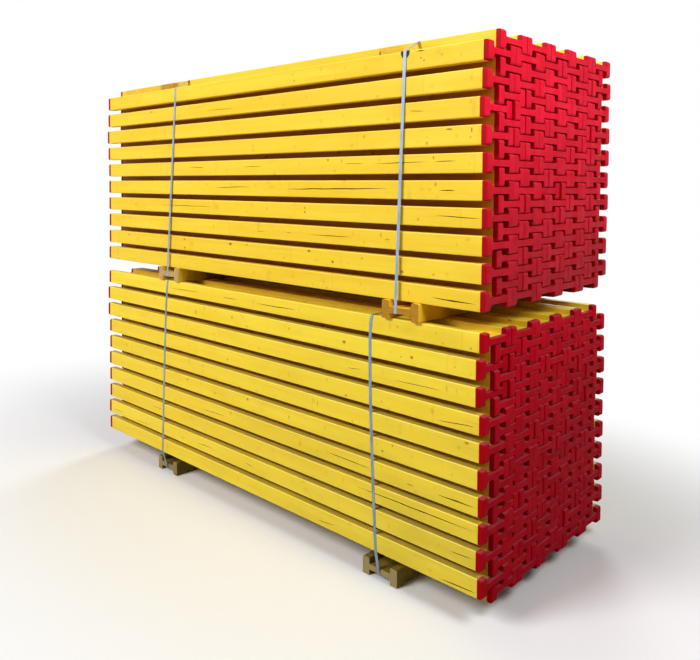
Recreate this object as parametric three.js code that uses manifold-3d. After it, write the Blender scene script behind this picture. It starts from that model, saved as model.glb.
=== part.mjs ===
// Two strapped bundles of timber formwork beams, one standing on the other.
//
// Each beam has an H section: two solid flanges joined by a thin web. The beams lie on their
// sides, five to a layer, and every second layer is set back, so that the flanges of one layer
// drop into the web channels of the next and the bundle locks together. Every beam end wears a
// red plastic cap. Each bundle stands on two short offcuts of the same beam, and two steel
// straps tie it to them. One strap runs over a plastic corner guard.
//
// Millimetres. X runs along the beams, -Y is the front long side, +Z is up, and the origin is
// on the ground in the middle of the footprint.

import * as THREE from 'three';
import { mergeVertices } from 'three/addons/utils/BufferGeometryUtils.js';
import Module from 'manifold-3d';

// Beam
const BEAM_LENGTH = 2900;
const BEAM_DEPTH = 200; // over both flanges; it lies level in the bundle
const FLANGE_WIDTH = 80; // stands upright in the bundle
const FLANGE_THICKNESS = 40;
const WEB_THICKNESS = 27;
const FLANGE_CHAMFER = 4; // on the flanges' long edges
const CAP_DEPTH = 24; // how much of the beam's end the plastic cap covers
const CAP_GROOVE = 5; // depth of the groove where the rounded edges of two caps meet

// Bundle
const BEAMS_PER_LAYER = 5;
const LAYERS_PER_BUNDLE = 20;
const BEAM_GAP = 1.5; // between neighbours in a layer
const CHANNEL_PLAY = 6.5; // between a flange pair and the nearer side of its channel
const SEAT_GAP = 0.3; // between a piece and what it rests on
const CAP_BITE = 0.1; // how far a cap flange is pressed into the next cap
const LAYER_SLIP = 10; // how far a layer may be pushed along X
const SLIP_STEP = 2.25; // radians of slip pattern from one layer to the next

// Bearers: offcuts of the same beam, across the bundle
const BEARER_SHORTFALL = 14; // how much shorter than the bundle is deep
const LOWER_BEARER_RIGHT = { fromEnd: 533, fromFront: 19 }; // fromEnd is to the bearer's middle
const LOWER_BEARER_LEFT = { fromEnd: 643, fromFront: 36 };
const UPPER_BEARER_RIGHT = { fromEnd: 403, fromFront: -18 };
const UPPER_BEARER_LEFT = { fromEnd: 731, fromFront: -13 };

// Straps: fromFlange is from the bearer's left flange to the strap's foot, and lean is how far
// the strap's top is to the right of its foot
const STRAP_WIDTH = 16;
const STRAP_THICKNESS = 1;
const LOWER_STRAP_RIGHT = { fromFlange: 47, lean: -36 };
const LOWER_STRAP_LEFT = { fromFlange: 52, lean: 62 };
const UPPER_STRAP_RIGHT = { fromFlange: 29, lean: 25 };
const UPPER_STRAP_LEFT = { fromFlange: 44, lean: 70 };
const SEAL_LENGTH = 32;
const SEAL_WALL = 1.2;
const SEAL_BEAM = 3; // the seal sits over the channel of this beam, counted from the front
const GUARD_WIDTH = 44; // along the edge that the guard covers
const GUARD_REACH = 30; // of each leg, whose end is a half round
const GUARD_THICKNESS = 1.5;

const TIMBER = { color: 0xf2c81f, roughness: 0.6, metalness: 0 };
const CAP_PLASTIC = { color: 0xc8102a, roughness: 0.4, metalness: 0 };
const WORN_TIMBER = { color: 0xb9904a, roughness: 0.75, metalness: 0 };
const STRAP_STEEL = { color: 0x8fa3b8, roughness: 0.4, metalness: 0.8 };
const SEAL_STEEL = { color: 0xa9afb5, roughness: 0.35, metalness: 0.9 };
const GUARD_PLASTIC = { color: 0x1c1c20, roughness: 0.5, metalness: 0 };

// What follows from them
const LAYER_WIDTH = BEAMS_PER_LAYER * BEAM_DEPTH + (BEAMS_PER_LAYER - 1) * BEAM_GAP;
const LAYER_PITCH = (FLANGE_WIDTH + WEB_THICKNESS) / 2 + SEAT_GAP;
const TIMBER_LENGTH = BEAM_LENGTH - 2 * (CAP_DEPTH + SEAT_GAP); // between the two caps
const SET_BACK = 2 * FLANGE_THICKNESS + BEAM_GAP + CHANNEL_PLAY; // of every second layer
const BUNDLE_HEIGHT = (LAYERS_PER_BUNDLE - 1) * LAYER_PITCH + FLANGE_WIDTH;
const BEARER_LENGTH = LAYER_WIDTH + SET_BACK - BEARER_SHORTFALL;
const LOWER_BASE = FLANGE_WIDTH + SEAT_GAP;
const UPPER_BEARER_BASE = LOWER_BASE + BUNDLE_HEIGHT + SEAT_GAP;
const UPPER_BASE = UPPER_BEARER_BASE + LOWER_BASE;

const wasm = await Module();
wasm.setup();

function toManifold(geometry) {
  const bare = geometry.clone();
  bare.deleteAttribute('normal');
  bare.deleteAttribute('uv');
  const merged = mergeVertices(bare, 1e-4);
  const mesh = new wasm.Mesh({
    numProp: 3,
    vertProperties: new Float32Array(merged.attributes.position.array),
    triVerts: new Uint32Array(merged.index.array),
  });
  return new wasm.Manifold(mesh);
}

function toGeometry(manifold) {
  const mesh = manifold.getMesh();
  const geometry = new THREE.BufferGeometry();
  geometry.setAttribute('position', new THREE.BufferAttribute(mesh.vertProperties, 3));
  geometry.setIndex(new THREE.BufferAttribute(mesh.triVerts, 1));
  return geometry;
}

function addMesh(parent, name, geometry, finish) {
  const mesh = new THREE.Mesh(geometry, new THREE.MeshStandardMaterial(finish));
  mesh.name = name;
  parent.add(mesh);
  return mesh;
}

// A section drawn in Y and Z, run along X from xStart for the given length
function extrudeAlongX(shape, xStart, length) {
  const geometry = new THREE.ExtrudeGeometry(shape, { depth: length, bevelEnabled: false });
  const swapAxes = new THREE.Matrix4().makeBasis(
    new THREE.Vector3(0, 1, 0), new THREE.Vector3(0, 0, 1), new THREE.Vector3(1, 0, 0));
  return geometry.applyMatrix4(swapAxes).translate(xStart, 0, 0);
}

// ---- Sections -------------------------------------------------------------------------------
// One side of a section is a list of spans from front to back, each with its end in Y and its
// reach, the distance of its face from the middle of the web. A flange may be chamfered at the
// start of its span, at the end or at both.

const FLANGE_REACH = FLANGE_WIDTH / 2;
const WEB_REACH = WEB_THICKNESS / 2;
const CORE_REACH = (LAYER_PITCH - SEAT_GAP) / 2;

// One side of a whole beam
function beamSide(start, chamfered) {
  const flange = { reach: FLANGE_REACH, startCut: chamfered, endCut: chamfered };
  return [
    { end: start + FLANGE_THICKNESS, ...flange },
    { end: start + BEAM_DEPTH - FLANGE_THICKNESS, reach: WEB_REACH },
    { end: start + BEAM_DEPTH, ...flange },
  ];
}

// One side of a row of beams. The seams between the beams reach as far as is given: down to the
// web they are slits, and up to the flanges' faces they are closed.
function openSide(seamReach, chamfered) {
  const spans = [];
  for (let beam = 0; beam < BEAMS_PER_LAYER; beam += 1) {
    const start = beam * (BEAM_DEPTH + BEAM_GAP);
    if (beam > 0) {
      spans.push({ end: start, reach: seamReach });
    }
    spans.push(...beamSide(start, chamfered));
  }
  return spans;
}

// One side of a row inside the bundle: its outer flanges with one web between them
function hiddenSide() {
  return [
    { end: FLANGE_THICKNESS, reach: FLANGE_REACH, startCut: true },
    { end: LAYER_WIDTH - FLANGE_THICKNESS, reach: WEB_REACH },
    { end: LAYER_WIDTH, reach: FLANGE_REACH, endCut: true },
  ];
}

// A span's outline, chamfered where that is asked for
function spanPoints(start, { end, reach, startCut, endCut }) {
  const points = [];
  if (startCut) {
    points.push([start, reach - FLANGE_CHAMFER], [start + FLANGE_CHAMFER, reach]);
  } else {
    points.push([start, reach]);
  }
  if (endCut) {
    points.push([end - FLANGE_CHAMFER, reach], [end, reach - FLANGE_CHAMFER]);
  } else {
    points.push([end, reach]);
  }
  return points;
}

function sidePoints(spans, sign) {
  const points = [];
  let start = 0;
  for (const span of spans) {
    for (const [y, reach] of spanPoints(start, span)) {
      const last = points.at(-1);
      if (last && last.x === y && last.y === sign * reach) {
        points.pop(); // the same level goes on
      } else {
        points.push(new THREE.Vector2(y, sign * reach));
      }
    }
    start = span.end;
  }
  return points;
}

// The closed outline of a row, with the middle of its front edge at the point given
function rowShape(under, over, front, middle) {
  const outline = [...sidePoints(under, -1), ...sidePoints(over, 1).reverse()];
  return new THREE.Shape(outline.map((p) => new THREE.Vector2(front + p.x, middle + p.y)));
}

// ---- Layers ---------------------------------------------------------------------------------
// Layers count from 0 at the bottom. A bundle is { name, base, firstSetBack }, and firstSetBack
// says whether its bottom layer is a set-back one.

function isSetBack(bundle, layer) {
  return (layer % 2 === 0) === bundle.firstSetBack;
}

function layerFront(bundle, layer) {
  return isSetBack(bundle, layer) ? SET_BACK : 0;
}

function layerMiddle(bundle, layer) {
  return bundle.base + FLANGE_REACH + layer * LAYER_PITCH;
}

// How far a layer has been pushed along the bundle
function layerSlip(bundle, layer) {
  return LAYER_SLIP * Math.sin(SLIP_STEP * layer + bundle.slipStart);
}

// The core that stands for the flanges hidden inside the bundle. It lies between the outer
// flanges of the layers above and below, fills only the sides that a neighbour covers, and
// stops short of the neighbours' caps, however far they have slipped.
function layerCore(bundle, layer) {
  const isBottom = layer === 0;
  const isTop = layer === LAYERS_PER_BUNDLE - 1;
  const inOwnFlange = FLANGE_THICKNESS / 2;
  const clearOfNeighbour = SET_BACK + FLANGE_THICKNESS + SEAT_GAP;
  const setBack = isSetBack(bundle, layer);
  const front = layerFront(bundle, layer) + (setBack ? inOwnFlange : clearOfNeighbour);
  const back = layerFront(bundle, layer) + LAYER_WIDTH
    - (setBack ? clearOfNeighbour : inOwnFlange);
  const low = layerMiddle(bundle, layer) - (isBottom ? 0 : CORE_REACH);
  const high = layerMiddle(bundle, layer) + (isTop ? 0 : CORE_REACH);
  const endClearance = 2 * LAYER_SLIP;
  const length = TIMBER_LENGTH - 2 * endClearance;
  const block = new THREE.BoxGeometry(length, back - front, high - low);
  block.translate(layerSlip(bundle, layer), (front + back) / 2, (low + high) / 2);
  return toManifold(block);
}

function beamLayer(bundle, layer) {
  const slitSide = openSide(WEB_REACH, true);
  const under = layer === 0 ? slitSide : hiddenSide();
  const over = layer === LAYERS_PER_BUNDLE - 1 ? slitSide : hiddenSide();
  const shape = rowShape(under, over, layerFront(bundle, layer), layerMiddle(bundle, layer));
  const xStart = layerSlip(bundle, layer) - TIMBER_LENGTH / 2;
  const row = toManifold(extrudeAlongX(shape, xStart, TIMBER_LENGTH));
  return toGeometry(row.add(layerCore(bundle, layer)));
}

// ---- End caps -------------------------------------------------------------------------------

// One side of a layer's caps. The last flange in the neighbour's end channel is the back one of
// a front layer and the front one of a set-back layer; where the caps bear on the neighbour,
// that flange reaches into it.
function capSide(setBack, bears) {
  const spans = openSide(FLANGE_REACH, false);
  if (bears) {
    const flange = setBack ? spans[0] : spans.at(-1);
    flange.reach = FLANGE_REACH + SEAT_GAP + CAP_BITE;
  }
  return spans;
}

// Of two layers, the caps that stand further out bear on the other's
function bearsOn(bundle, layer, neighbour, side) {
  if (neighbour < 0 || neighbour >= LAYERS_PER_BUNDLE) {
    return false;
  }
  return side * layerSlip(bundle, layer) > side * layerSlip(bundle, neighbour);
}

// The grooves between the caps of a layer, as square bars that lie on edge in their outer faces
function capGrooves(front, middle, outerFace) {
  const bars = [];
  for (let beam = 1; beam < BEAMS_PER_LAYER; beam += 1) {
    const seam = front + beam * (BEAM_DEPTH + BEAM_GAP) - BEAM_GAP / 2;
    const width = CAP_GROOVE * Math.SQRT2;
    const bar = new THREE.BoxGeometry(width, width, 2 * FLANGE_WIDTH);
    bar.rotateZ(Math.PI / 4).translate(outerFace, seam, middle);
    bars.push(toManifold(bar));
  }
  return wasm.Manifold.union(bars);
}

// All the caps at one end of a bundle. side is 1 for the right end and -1 for the left.
function capPanel(bundle, side) {
  const rows = [];
  for (let layer = 0; layer < LAYERS_PER_BUNDLE; layer += 1) {
    const setBack = isSetBack(bundle, layer);
    const under = capSide(setBack, bearsOn(bundle, layer, layer - 1, side));
    const over = capSide(setBack, bearsOn(bundle, layer, layer + 1, side));
    const front = layerFront(bundle, layer);
    const middle = layerMiddle(bundle, layer);
    const outerFace = layerSlip(bundle, layer) + side * BEAM_LENGTH / 2;
    const xStart = side > 0 ? outerFace - CAP_DEPTH : outerFace;
    const shape = rowShape(under, over, front, middle);
    const row = toManifold(extrudeAlongX(shape, xStart, CAP_DEPTH));
    rows.push(row.subtract(capGrooves(front, middle, outerFace)));
  }
  return toGeometry(wasm.Manifold.union(rows));
}

// ---- Bearers --------------------------------------------------------------------------------

function bearerMiddleX(bearer, side) {
  return side * (BEAM_LENGTH / 2 - bearer.fromEnd);
}

// An offcut on its side, with its web level, running back from the front
function bearerSolid(bearer, side, base) {
  const face = beamSide(0, true);
  const shape = rowShape(face, face, -BEAM_DEPTH / 2, 0);
  const geometry = new THREE.ExtrudeGeometry(shape, { depth: BEARER_LENGTH, bevelEnabled: false });
  geometry.rotateX(Math.PI / 2).translate(0, BEARER_LENGTH, 0);
  return geometry.translate(bearerMiddleX(bearer, side), bearer.fromFront, base + FLANGE_REACH);
}

// ---- Straps ---------------------------------------------------------------------------------

function cross(o, a, b) {
  return (a.x - o.x) * (b.y - o.y) - (a.y - o.y) * (b.x - o.x);
}

function halfHull(points) {
  const hull = [];
  for (const point of points) {
    while (hull.length > 1 && cross(hull.at(-2), hull.at(-1), point) <= 0) {
      hull.pop();
    }
    hull.push(point);
  }
  return hull.slice(0, -1);
}

// The counterclockwise outline that a tight band takes round the points
function tightOutline(points) {
  const sorted = [...points].sort((a, b) => a.x - b.x || a.y - b.y);
  return [...halfHull(sorted), ...halfHull(sorted.toReversed())];
}

// The same outline moved outwards by a distance, with mitred corners
function grownOutline(outline, distance) {
  return outline.map((corner, i) => {
    const before = outline.at(i - 1);
    const after = outline[(i + 1) % outline.length];
    const inward = corner.clone().sub(before).normalize();
    const onward = after.clone().sub(corner).normalize();
    const normalIn = new THREE.Vector2(inward.y, -inward.x);
    const normalOut = new THREE.Vector2(onward.y, -onward.x);
    const bisector = normalIn.clone().add(normalOut).normalize();
    return corner.clone().addScaledVector(bisector, distance / bisector.dot(normalOut));
  });
}

// The top front edge of a bundle: that of its highest layer that isn't set back
function topFrontEdge(bundle) {
  const last = LAYERS_PER_BUNDLE - 1;
  const layer = isSetBack(bundle, last) ? last - 1 : last;
  return new THREE.Vector2(layerFront(bundle, layer), layerMiddle(bundle, layer) + FLANGE_REACH);
}

// The corners that a strap passes over, in Y and Z: the bundle's layers, the bearer's web and
// the corner guard
function strapSupports(bundle, bearer, bearerBase, guarded) {
  const corners = [];
  if (guarded) {
    const outside = SEAT_GAP + GUARD_THICKNESS;
    corners.push(topFrontEdge(bundle).add(new THREE.Vector2(-outside, outside)));
  }
  for (let layer = 0; layer < LAYERS_PER_BUNDLE; layer += 1) {
    const front = layerFront(bundle, layer);
    const middle = layerMiddle(bundle, layer);
    for (const reach of [-FLANGE_REACH, FLANGE_REACH]) {
      const eased = reach - Math.sign(reach) * FLANGE_CHAMFER;
      corners.push(new THREE.Vector2(front, middle + eased));
      corners.push(new THREE.Vector2(front + FLANGE_CHAMFER, middle + reach));
      corners.push(new THREE.Vector2(front + LAYER_WIDTH - FLANGE_CHAMFER, middle + reach));
      corners.push(new THREE.Vector2(front + LAYER_WIDTH, middle + eased));
    }
  }
  const webUnder = bearerBase + FLANGE_REACH - WEB_REACH;
  for (const y of [bearer.fromFront, bearer.fromFront + BEARER_LENGTH]) {
    corners.push(new THREE.Vector2(y, webUnder), new THREE.Vector2(y, webUnder + WEB_THICKNESS));
  }
  return corners;
}

// Leans a piece that was built upright over xFoot: X moves with the height above zFoot
function leanAlongX(geometry, lean, zFoot) {
  const slope = lean / BUNDLE_HEIGHT;
  const shear = new THREE.Matrix4().set(
    1, 0, slope, -slope * zFoot,
    0, 1, 0, 0,
    0, 0, 1, 0,
    0, 0, 0, 1);
  return geometry.applyMatrix4(shear);
}

// The middle of a strap at the foot of the bundle
function strapFootX(strap, bearer, side) {
  const flangeFace = bearerMiddleX(bearer, side) - BEAM_DEPTH / 2 + FLANGE_THICKNESS;
  return flangeFace + strap.fromFlange + STRAP_WIDTH / 2;
}

function strapSolid(bundle, { strap, bearer, side, guarded }, bearerBase) {
  const path = tightOutline(strapSupports(bundle, bearer, bearerBase, guarded));
  const shape = new THREE.Shape(grownOutline(path, SEAT_GAP + STRAP_THICKNESS));
  shape.holes.push(new THREE.Path(grownOutline(path, SEAT_GAP)));
  const xStart = strapFootX(strap, bearer, side) - STRAP_WIDTH / 2;
  return leanAlongX(extrudeAlongX(shape, xStart, STRAP_WIDTH), strap.lean, bundle.base);
}

// One leg of a corner guard, lying flat from the edge at Y = 0
function guardLeg() {
  const half = GUARD_WIDTH / 2;
  const shape = new THREE.Shape();
  shape.moveTo(-half, -GUARD_THICKNESS);
  shape.lineTo(half, -GUARD_THICKNESS);
  shape.lineTo(half, GUARD_REACH - half);
  shape.absarc(0, GUARD_REACH - half, half, 0, Math.PI);
  const settings = { depth: GUARD_THICKNESS, bevelEnabled: false, curveSegments: 10 };
  return new THREE.ExtrudeGeometry(shape, settings);
}

// A plastic angle between a strap and the bundle's top front edge
function guardSolid(bundle, { strap, bearer, side }) {
  const topLeg = guardLeg();
  const frontLeg = guardLeg().rotateX(-Math.PI / 2).translate(0, -GUARD_THICKNESS, 0);
  const angle = toGeometry(wasm.Manifold.union([toManifold(topLeg), toManifold(frontLeg)]));
  const edge = topFrontEdge(bundle);
  angle.translate(strapFootX(strap, bearer, side), edge.x - SEAT_GAP, edge.y + SEAT_GAP);
  return leanAlongX(angle, strap.lean, bundle.base);
}

// The crimped sleeve that locks a strap's two ends, on the strap's top run over a web channel
function sealSolid(bundle, { strap, bearer, side }) {
  const halfSlotX = STRAP_WIDTH / 2 + SEAT_GAP;
  const halfSlotZ = STRAP_THICKNESS / 2 + SEAT_GAP;
  const rectangle = (halfX, halfZ) => [
    new THREE.Vector2(-halfX, -halfZ), new THREE.Vector2(halfX, -halfZ),
    new THREE.Vector2(halfX, halfZ), new THREE.Vector2(-halfX, halfZ)];
  const shape = new THREE.Shape(rectangle(halfSlotX + SEAL_WALL, halfSlotZ + SEAL_WALL));
  shape.holes.push(new THREE.Path(rectangle(halfSlotX, halfSlotZ)));
  const geometry = new THREE.ExtrudeGeometry(shape, { depth: SEAL_LENGTH, bevelEnabled: false });
  geometry.rotateX(Math.PI / 2);
  const channelMiddle = layerFront(bundle, LAYERS_PER_BUNDLE - 1)
    + (SEAL_BEAM - 1) * (BEAM_DEPTH + BEAM_GAP) + BEAM_DEPTH / 2;
  const strapMiddle = bundle.base + BUNDLE_HEIGHT + SEAT_GAP + STRAP_THICKNESS / 2;
  geometry.translate(
    strapFootX(strap, bearer, side), channelMiddle + SEAL_LENGTH / 2, strapMiddle);
  return leanAlongX(geometry, strap.lean, bundle.base);
}

// ---- The stack ------------------------------------------------------------------------------

function addBundle(stack, bundle) {
  for (let layer = 0; layer < LAYERS_PER_BUNDLE; layer += 1) {
    const number = String(layer + 1).padStart(2, '0');
    addMesh(stack, `${bundle.name}_beam_layer_${number}`, beamLayer(bundle, layer), TIMBER);
  }
  for (const end of bundle.ends) {
    const { name, side, bearer } = end;
    const prefix = bundle.name;
    const base = bundle.bearerBase;
    addMesh(stack, `${prefix}_end_caps_${name}`, capPanel(bundle, side), CAP_PLASTIC);
    addMesh(stack, `${prefix}_bearer_${name}`, bearerSolid(bearer, side, base), WORN_TIMBER);
    const band = strapSolid(bundle, end, base);
    addMesh(stack, `${prefix}_strap_${name}`, band, STRAP_STEEL);
    addMesh(stack, `${prefix}_strap_seal_${name}`, sealSolid(bundle, end), SEAL_STEEL);
    if (end.guarded) {
      addMesh(stack, `${prefix}_corner_guard_${name}`, guardSolid(bundle, end), GUARD_PLASTIC);
    }
  }
}

const LOWER_BUNDLE = {
  name: 'lower',
  base: LOWER_BASE,
  bearerBase: 0,
  firstSetBack: true,
  slipStart: 0.4,
  ends: [
    { name: 'right', side: 1, bearer: LOWER_BEARER_RIGHT, strap: LOWER_STRAP_RIGHT },
    { name: 'left', side: -1, bearer: LOWER_BEARER_LEFT, strap: LOWER_STRAP_LEFT },
  ],
};

const UPPER_BUNDLE = {
  name: 'upper',
  base: UPPER_BASE,
  bearerBase: UPPER_BEARER_BASE,
  firstSetBack: false,
  slipStart: 1.1,
  ends: [
    {
      name: 'right',
      side: 1,
      bearer: UPPER_BEARER_RIGHT,
      strap: UPPER_STRAP_RIGHT,
      guarded: true,
    },
    { name: 'left', side: -1, bearer: UPPER_BEARER_LEFT, strap: UPPER_STRAP_LEFT },
  ],
};

const stack = new THREE.Group();
addBundle(stack, LOWER_BUNDLE);
addBundle(stack, UPPER_BUNDLE);

const footprint = new THREE.Box3().setFromObject(stack).getCenter(new THREE.Vector3());
stack.position.set(-footprint.x, -footprint.y, 0);

export default stack;
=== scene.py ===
"""The looks of the stack of lumber: two strapped bundles of yellow formwork beams with red caps."""

import math
import random

import bmesh
import bpy
import numpy as np
from mathutils import Matrix, Vector, geometry, noise


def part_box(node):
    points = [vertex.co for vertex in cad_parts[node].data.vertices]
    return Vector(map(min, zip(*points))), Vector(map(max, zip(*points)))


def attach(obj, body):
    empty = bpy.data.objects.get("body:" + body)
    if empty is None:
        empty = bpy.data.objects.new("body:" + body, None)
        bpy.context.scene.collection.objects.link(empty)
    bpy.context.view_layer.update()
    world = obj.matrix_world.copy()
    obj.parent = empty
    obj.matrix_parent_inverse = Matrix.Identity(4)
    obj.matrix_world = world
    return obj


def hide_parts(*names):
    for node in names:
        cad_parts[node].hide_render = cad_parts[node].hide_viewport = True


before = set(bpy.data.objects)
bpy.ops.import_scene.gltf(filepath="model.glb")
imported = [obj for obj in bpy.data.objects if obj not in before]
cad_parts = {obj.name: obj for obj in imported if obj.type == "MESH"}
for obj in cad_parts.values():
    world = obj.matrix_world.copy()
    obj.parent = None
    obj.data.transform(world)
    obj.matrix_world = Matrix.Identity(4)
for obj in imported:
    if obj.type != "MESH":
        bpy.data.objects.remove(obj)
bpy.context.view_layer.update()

# Metres. X runs along the beams, -Y is the front, +Z is up.
MM = 0.001
BUNDLES = ("lower", "upper")
SIDES = ("right", "left")
LAYERS = 20
BEAMS = 5

BEAM_DEPTH = 200 * MM
BEAM_GAP = 1.5 * MM
FLANGE_WIDTH = 80 * MM
FLANGE_THICKNESS = 40 * MM
WEB_THICKNESS = 27 * MM
WEB_REACH = BEAM_DEPTH / 2 - FLANGE_THICKNESS  # from a beam's middle to its flanges
CAP_DEPTH = 24 * MM
SEAT_GAP = 0.3 * MM  # between a beam and its cap
REACH = 1460 * MM  # of the furthest cap from the middle of the bundle
USUAL_END = 1427 * MM  # of the beams' timber on the right
END_SPREAD = {"upper": 1.8, "lower": 2.4}  # of the beams' ends, in millimetres
MOST_SLIP = 7.0  # of a beam's end from the usual one, in millimetres

TIMBER_EDGE = 4 * MM
TIMBER_FILLET = 1.5 * MM
CAP_CORNER = 6 * MM  # of a cap flange, seen from the end
CAP_TIP_ROUND = 13 * MM  # from a cap flange's outer face to its tips
CAP_SIDE_ROUND = 4 * MM  # from its outer face to its sides
CAP_WEB_ROUND = 3 * MM
CAP_FLARE = 5.5 * MM  # of a cap's web into its flanges
CAP_WEB_STEP = 0.6 * MM  # how far a cap's web stands back from its flanges
CAP_WEB_OVERLAP = 2 * MM  # how far it runs on inside them
CAP_RIM_ROUND = 0.6 * MM
CAP_SHRINK = 0.2 * MM  # how far a cap stays inside its beam's outline
BEARER_EDGE = 7 * MM
BEARER_FILLET = 3 * MM
BEARER_WEAR = 1.6 * MM
BEARER_STEPS = 36

STRAP_WIDTH = 16 * MM
STRAP_THICKNESS = 0.9 * MM
STRAP_BEND = 2.5 * MM
STRAP_EDGE = 0.2 * MM
STRAP_STEP = 30 * MM  # between the cross-sections of a band's front run
# How far the lower bands have slipped sideways on their way down the front, in millimetres.
STRAP_BOW = {("lower", "right"): -17.0, ("lower", "left"): -10.0}
BOW_START = 5 * MM  # below the top of the band
BOW_SPARE = 90 * MM  # the slipped run is this much shorter than the band is high
BOW_SKEW = 0.55  # under 1, because the band has slipped most above the middle of the run
TAIL_START = 2 * MM  # inside the seal
TAIL_STOPS = (45 * MM, 78 * MM)  # past the seal
TAIL_DROP = 0.25 * MM  # under the seal's top
TAIL_THICKNESS = 0.55  # of the band's

SEAL_STEPS = 40
SEAL_ROUND = 0.8  # of half its height
NOTCH_AT = 7.5 * MM  # from the seal's middle, along the band
NOTCH_HALF = 2.2 * MM  # half a notch's length
NOTCH_FROM = 0.72  # of half the seal's width
NOTCH_IN = 0.13  # of half the seal's width
NOTCH_DOWN = 0.55  # of half the seal's height

GUARD_WIDTH = 44 * MM
GUARD_THICKNESS = 1.5 * MM
GUARD_BEND = 2.5 * MM
GUARD_EDGE = 0.4 * MM
GUARD_BEND_STEPS = 6
GUARD_TIP_STEPS = 12
GUARD_TIP_ANGLE = math.radians(86)  # just short of a full half round

SHARP_OVER = 40  # degrees between two faces
CAP_SHARP_OVER = 32
WELD = 0.002 * MM  # points closer than this are joined
SLACK = 0.01 * MM  # places closer than this are the same

END_MARGIN = 3 * MM  # between a placed crack and its beam's end
CRACK_STEP = 35 * MM  # between the points of a crack
CRACK_WANDER = 2.2 * MM
CRACK_OPENING = 1.8  # a placed crack is cut this many times wider than it is given
CRACK_DEPTH = 2.0  # and this many times deeper than it is cut wide
CRACK_ROOM = 9 * MM  # above and below a scattered crack
KNOT_POINTS = 10  # round a knot
KNOT_RINGS = ((1.7, 0.0), (0.85, 0.8))  # the shares of a knot's half sizes and of its strength
KNOT_APART = 45 * MM  # from the next knot's outline, along X
FRONT_KNOTS = 7  # scattered on a front beam, faintly, beside the placed ones
FRONT_KNOT_STRENGTH = 0.4
BACK_KNOTS = 9
BACK_CRACKS = 5

# The cracks of the front beams, by layer: where each starts and ends along X, then in
# millimetres its height above the beam's middle at both ends, and its width.
CRACKS = {
    "upper": {
        1: [(1.194, 1.418, -7, -12, 3.2)],
        5: [(0.471, 0.745, -2, 0.6, 2.0), (0.075, 0.154, -5, -3, 1.3), (0.306, 0.343, 2, -3, 1.3),
            (0.941, 0.98, 2, 0.7, 1.4)],
        7: [(-0.845, -0.291, 3.8, 3.3, 1.7), (1.211, 1.43, 5.2, -0.2, 2.4)],
        9: [(-0.269, 0.033, 2.3, 7, 2.0), (0.302, 0.955, -2.5, 5, 3.0), (1.227, 1.31, -1, 0, 2.4)],
        11: [(-0.53, -0.364, 9, 3, 1.6), (-0.034, 0.121, 3.6, 3, 1.5), (0.698, 0.82, 7.5, 6, 1.6),
             (0.873, 1.173, 3.9, 8.4, 1.8), (1.203, 1.31, 7.9, 9.5, 2.2)],
        13: [(1.259, 1.294, 27.5, 27.5, 2.6)],
        15: [(1.073, 1.149, 5, -0.9, 1.6)],
        17: [(-0.371, -0.111, -4.7, -8.2, 1.2)],
        19: [(1.105, 1.15, 32, 31, 2.6)],
    },
    "lower": {
        2: [(0.538, 0.658, -17, -7, 1.7), (1.254, 1.44, -26, -18, 3.0)],
        4: [(-1.405, -1.25, -14, -10, 1.5), (-1.106, -0.972, -19, -20, 1.3),
            (-0.451, -0.295, -4, 4, 1.8), (-0.011, 0.052, 1.6, -2, 1.4),
            (1.307, 1.417, -1.5, 3.6, 2.4)],
        6: [(-0.936, -0.79, 1.4, 2.2, 1.5), (0.783, 1.415, 3, 8, 2.8)],
        8: [(-0.399, -0.177, -12, -5, 1.5), (0.589, 0.882, 3.8, -0.3, 2.2),
            (1.076, 1.12, -6.6, -8.7, 1.6), (1.237, 1.432, -5, -3.7, 3.0)],
        14: [(1.229, 1.425, -22, -8, 2.2)],
        16: [(0.725, 0.817, -4.5, 3, 1.4), (0.999, 1.262, -8.2, -4.6, 1.7)],
        20: [(-0.723, -0.428, -4, 1, 1.6), (-0.216, -0.078, -2, -2.6, 1.8),
             (0.075, 0.387, -2.4, 1.4, 2.6)],
    },
}

# A knot's outline reaches this many times its half width and half height.
KNOT_REACH = 1.77

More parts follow.
